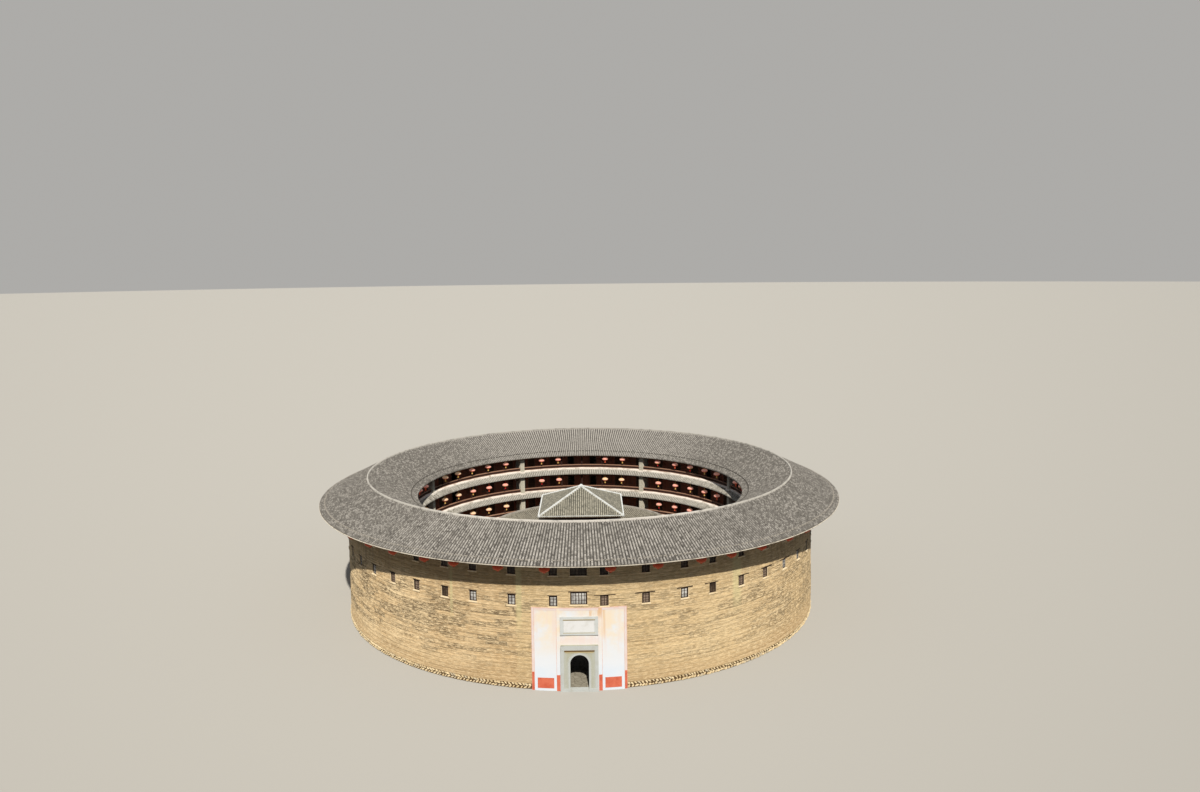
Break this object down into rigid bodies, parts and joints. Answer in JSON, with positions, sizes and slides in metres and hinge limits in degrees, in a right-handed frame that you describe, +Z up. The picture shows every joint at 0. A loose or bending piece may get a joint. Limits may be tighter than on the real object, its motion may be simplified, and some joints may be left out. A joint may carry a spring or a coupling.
{
  "type": "tulou roundhouse, 1:2 scale model",
  "caption": "Scale model of a round rammed-earth house: ring of storeys under a gabled tile roof, galleries round a court with a lower ring and a square hall.",
  "frame": {"origin": "centre of the round court at ground level, where the footing stands", "axes": "+Z up; -Y faces out through the entrance; +X to the right of someone who looks at the entrance"},
  "size_m": [31.65, 31.65, 8.24],
  "materials": {
    "rubble_stone": "rounded field stones in earth mortar",
    "rammed_earth": "rammed earth in lifts, weathered",
    "roof_tile": "unglazed grey fired clay, weathered",
    "stone_paving": "worn stone slabs",
    "floor_boards": "old floor boards",
    "dark_timber": "dark red-brown fir, unpolished",
    "pale_brick": "pale grey-beige fired brick",
    "whitewash": "lime render, stained",
    "granite": "dressed granite",
    "white_mortar": "lime mortar on ridges and eaves",
    "red_wash": "red lime wash",
    "window_glass": "dusty window panes",
    "red_silk": "red lantern silk"
  },
  "bodies": {
    "root": {"stone_footing": "rubble_stone", "wall_over_door": "rammed_earth", "wall_front_left": "rammed_earth", "wall_front_right": "rammed_earth", "wall_right": "rammed_earth", "wall_left": "rammed_earth", "upper_wall_front": "rammed_earth", "upper_wall_front_right": "rammed_earth", "upper_wall_front_left": "rammed_earth", "upper_wall_right": "rammed_earth", "upper_wall_left": "rammed_earth", "upper_wall_back": "rammed_earth", "upper_wall_back_right": "rammed_earth", "upper_wall_back_left": "rammed_earth", "roof_front": "roof_tile", "roof_right": "roof_tile", "roof_back": "roof_tile", "roof_left": "roof_tile", "ground_floor": "stone_paving", "floor_2f": "floor_boards", "floor_3f": "floor_boards", "floor_4f": "floor_boards", "room_front_1f": "dark_timber", "room_front_2f": "dark_timber", "room_front_3f": "dark_timber", "room_front_4f": "dark_timber", "gallery_frame_1f": "dark_timber", "gallery_frame_2f": "dark_timber", "gallery_frame_3f": "dark_timber", "gallery_frame_4f": "dark_timber", "waist_eave_2f": "roof_tile", "waist_eave_3f": "roof_tile", "waist_eave_4f": "roof_tile", "brick_pier_front_right": "pale_brick", "brick_pier_front_left": "pale_brick", "brick_pier_front_side_right": "pale_brick", "brick_pier_front_side_left": "pale_brick", "brick_pier_back_side_right": "pale_brick", "brick_pier_back_side_left": "pale_brick", "brick_pier_back_right": "pale_brick", "brick_pier_back_left": "pale_brick", "entrance_render": "whitewash", "granite_portal": "granite", "name_board": "granite", "inner_ring_base": "stone_paving", "inner_ring_roof": "roof_tile", "inner_ring_wall": "whitewash", "inner_ring_frame": "dark_timber", "hall_base": "granite", "hall_walls": "whitewash", "hall_frame": "dark_timber", "hall_roof": "roof_tile"}
  },
  "joints": []
}
